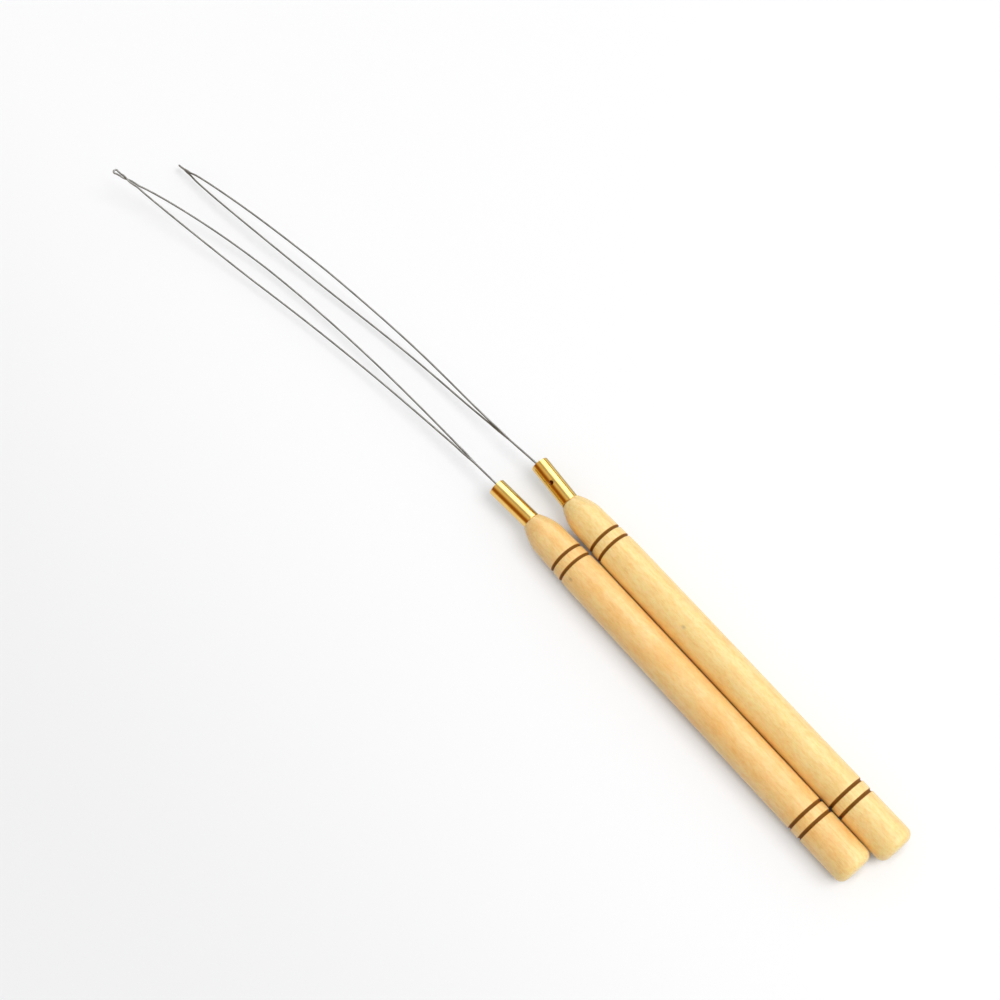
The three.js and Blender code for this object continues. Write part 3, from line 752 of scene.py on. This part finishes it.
# From the mouth the legs run together for the doubled length, are furthest apart at the widest place and
# are pinched for the neck's length before the eye. The rolls turn loop and eye about the wire, in degrees.
# Each bend is a share of the reach, and its places to the left of and above the handle's axis.
WIRES = {
    "left": {
        "reach": 149.6, "doubled": 16.5, "widest": 99, "neck": 6.8,
        "fork_power": 0.85, "roll": -8, "eye_roll": -188,
        "bends": [(0.15, 1.3, -0.5), (0.35, 3.3, -2.0), (0.55, 6.55, -2.6),
                  (0.75, 11.35, -1.5), (0.9, 16.55, 2.7), (1, 20.95, 7.0)],
    },
    "right": {
        "reach": 146.35, "doubled": 18.3, "widest": 87, "neck": 3.3,
        "fork_power": 0.65, "roll": 54, "eye_roll": 100,
        "bends": [(0.15, 1.2, -0.5), (0.35, 3.15, -1.2), (0.55, 6.6, -0.5),
                  (0.75, 10.85, 0.9), (0.9, 13.9, -0.3), (1, 15.65, -2.7)],
    },
}
TAIL_STEP = 3.5
DOUBLED_STEP = 1.6
SPREAD_STEP = 3.7
CLOSE_STEP = 2.5
NECK_STEP = 0.6
EYE_STEPS = 10
SPINE_SAMPLES = 200
WIRE_SAMPLES = 5
STEEL = (0.28, 0.28, 0.27, 1)
STEEL_DARK = (0.16, 0.158, 0.15, 1)
STEEL_ROUGHNESS = 0.30
STEEL_LINE_ROUGHNESS = 0.15
STEEL_MARKS_FINENESS = 2.5
STEEL_MARKS_STRENGTH = 0.4


def smooth_line(points, samples):
    """A centripetal curve through the points, with that many samples from each point to the next."""
    padded = [2 * points[0] - points[1], *points, 2 * points[-1] - points[-2]]
    line = []
    for before, first, second, after in zip(padded, padded[1:], padded[2:], padded[3:]):
        gap = (second - first).length ** 0.5
        gap_before, gap_after = (first - before).length ** 0.5, (after - second).length ** 0.5
        out = (first - before) / gap_before - (second - before) / (gap_before + gap) + (second - first) / gap
        into = (second - first) / gap - (after - first) / (gap + gap_after) + (after - second) / gap_after
        handles = (first + out * gap / 3, second - into * gap / 3)
        line += interpolate_bezier(first, *handles, second, samples + 1)[:-1]
    return line + [points[-1]]


def across_legs(forward, roll_degrees):
    """The way from the right leg to the left one, rolled about the wire's own direction."""
    roll = math.radians(roll_degrees)
    level = Vector((0, 0, 1)).cross(forward).normalized()
    return level * math.cos(roll) - forward.cross(level) * math.sin(roll)


def leg_spread(distance, shape, neck_start):
    """How far apart the two legs are at a distance from the ferrule's mouth."""
    doubled, widest = shape["doubled"], shape["widest"]
    if distance <= doubled or distance >= neck_start:
        return LEG_PITCH
    if distance < widest:
        opened = 1 - ((widest - distance) / (widest - doubled)) ** SPREAD_ROUNDNESS
    else:
        closing = (distance - widest) / (neck_start - widest)
        opened = (1 - closing ** CLOSE_ROUNDNESS) ** shape["fork_power"]
    return LEG_PITCH + (LOOP_WIDTH - LEG_PITCH) * opened


def wire_points(side):
    """The wire's route in millimetres from the nose: left tail, left leg, eye, right leg and right tail."""
    shape = WIRES[side]
    lean, _, mouth, _, tenon_end = seat_of(side)
    forward = Vector((math.cos(lean), math.sin(lean), 0))
    sideways = Vector((-math.sin(lean), math.cos(lean), 0)) * TOOLS[side]["wire_offset"]
    pairs = []
    for distance in evenly(tenon_end - TAIL_DEPTH, mouth, TAIL_STEP):
        pairs.append((forward * distance + sideways, across_legs(forward, MOUTH_ROLL[side]), LEG_PITCH))
    mouth_point = forward * mouth + sideways
    bends = [Vector((mouth_point.x + along * shape["reach"], left, up)) for along, left, up in shape["bends"]]
    spine = smooth_line([mouth_point, *bends], SPINE_SAMPLES)
    reached = [0]
    for first, second in zip(spine, spine[1:]):
        reached.append(reached[-1] + (second - first).length)
    stem_start = reached[-1] - EYE_STEM
    neck_start = stem_start - shape["neck"]
    untwist_start = UNTWIST_START_SHARE * shape["doubled"]
    twist_start = stem_start - NECK_TWIST_SHARE * shape["neck"]
    stations = evenly(0, shape["doubled"], DOUBLED_STEP)
    stations += evenly(shape["doubled"], shape["widest"], SPREAD_STEP)
    stations += evenly(shape["widest"], neck_start, CLOSE_STEP)
    stations += evenly(neck_start, stem_start, NECK_STEP)
    for distance in stations:
        k = max(1, next(n for n, length in enumerate(reached) if length >= distance))
        share = (distance - reached[k - 1]) / (reached[k] - reached[k - 1])
        untwisted = smooth_share(distance, untwist_start, shape["doubled"])
        roll = MOUTH_ROLL[side] + (shape["roll"] - MOUTH_ROLL[side]) * untwisted
        roll += (shape["eye_roll"] - shape["roll"]) * smooth_share(distance, twist_start, stem_start)
        across = across_legs((spine[k] - spine[k - 1]).normalized(), roll)
        pairs.append((spine[k - 1].lerp(spine[k], share), across, leg_spread(distance, shape, neck_start)))
    tip_way = (spine[-1] - spine[-2]).normalized()
    tip_across = across_legs(tip_way, shape["eye_roll"])
    eye = []
    for k in range(2 * EYE_STEPS + 1):
        angle = math.radians(EYE_OPEN_ANGLE * (1 - k / EYE_STEPS))
        eye.append(spine[-1] + EYE_RADIUS * (tip_way * math.cos(angle) + tip_across * math.sin(angle)))
    left = [middle + across * spread / 2 for middle, across, spread in pairs]
    right = [middle - across * spread / 2 for middle, across, spread in pairs]
    return left + eye + right[::-1]


def build_wire(side, material):
    """Sweeps the round wire along its route, as a closed skin with capped tails."""
    line = smooth_line(wire_points(side), WIRE_SAMPLES)
    curve = bpy.data.curves.new(f"{side}_wire_route", "CURVE")
    curve.dimensions = "3D"
    curve.bevel_depth = WIRE_RADIUS
    curve.bevel_resolution = 4
    curve.use_fill_caps = True
    spline = curve.splines.new("POLY")
    spline.points.add(len(line) - 1)
    for point, place in zip(spline.points, line):
        point.co = (*place, 1)
    route = bpy.data.objects.new(f"{side}_wire_route", curve)
    bpy.context.scene.collection.objects.link(route)
    bm = bmesh.new()
    bm.from_mesh(bpy.data.meshes.new_from_object(route.evaluated_get(bpy.context.evaluated_depsgraph_get())))
    bpy.data.objects.remove(route)
    bmesh.ops.remove_doubles(bm, verts=bm.verts[:], dist=WELD_DISTANCE)
    bmesh.ops.recalc_face_normals(bm, faces=bm.faces[:])
    bmesh.ops.transform(bm, verts=bm.verts[:], matrix=Matrix.Translation(nose_of(side)) @ Matrix.Scale(MM, 4))
    return finish_piece(f"{side}_wire_loop_drawn", bm, material)


steel, tree, shader = new_material("spring_steel")
marks = add_node(tree, "ShaderNodeGroup", node_tree=drawn_marks)
wire_up(tree, marks, Place=place_in_mm(tree, Vector((0, 0, 0))), Fineness=STEEL_MARKS_FINENESS)
darkness = ramp_node(tree, marks.outputs["Cloud"], [(0.3, 0.0), (0.7, 1.0)])
colour = mix_colours(tree, darkness, STEEL, STEEL_DARK)
roughness = math_node(tree, "MULTIPLY_ADD", marks.outputs["Lines"], STEEL_LINE_ROUGHNESS, STEEL_ROUGHNESS)
wire_up(tree, shader, Base_Color=colour, Metallic=1.0, Roughness=roughness,
        Normal=bump_node(tree, marks.outputs["Height"], STEEL_MARKS_STRENGTH, MM))
for side in TOOLS:
    wire = build_wire(side, steel)
    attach(wire, f"{side}_tool")
    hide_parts(f"{side}_wire_loop")


# The picture's colours as they are lit.
bpy.context.scene.view_settings.view_transform = "Standard"
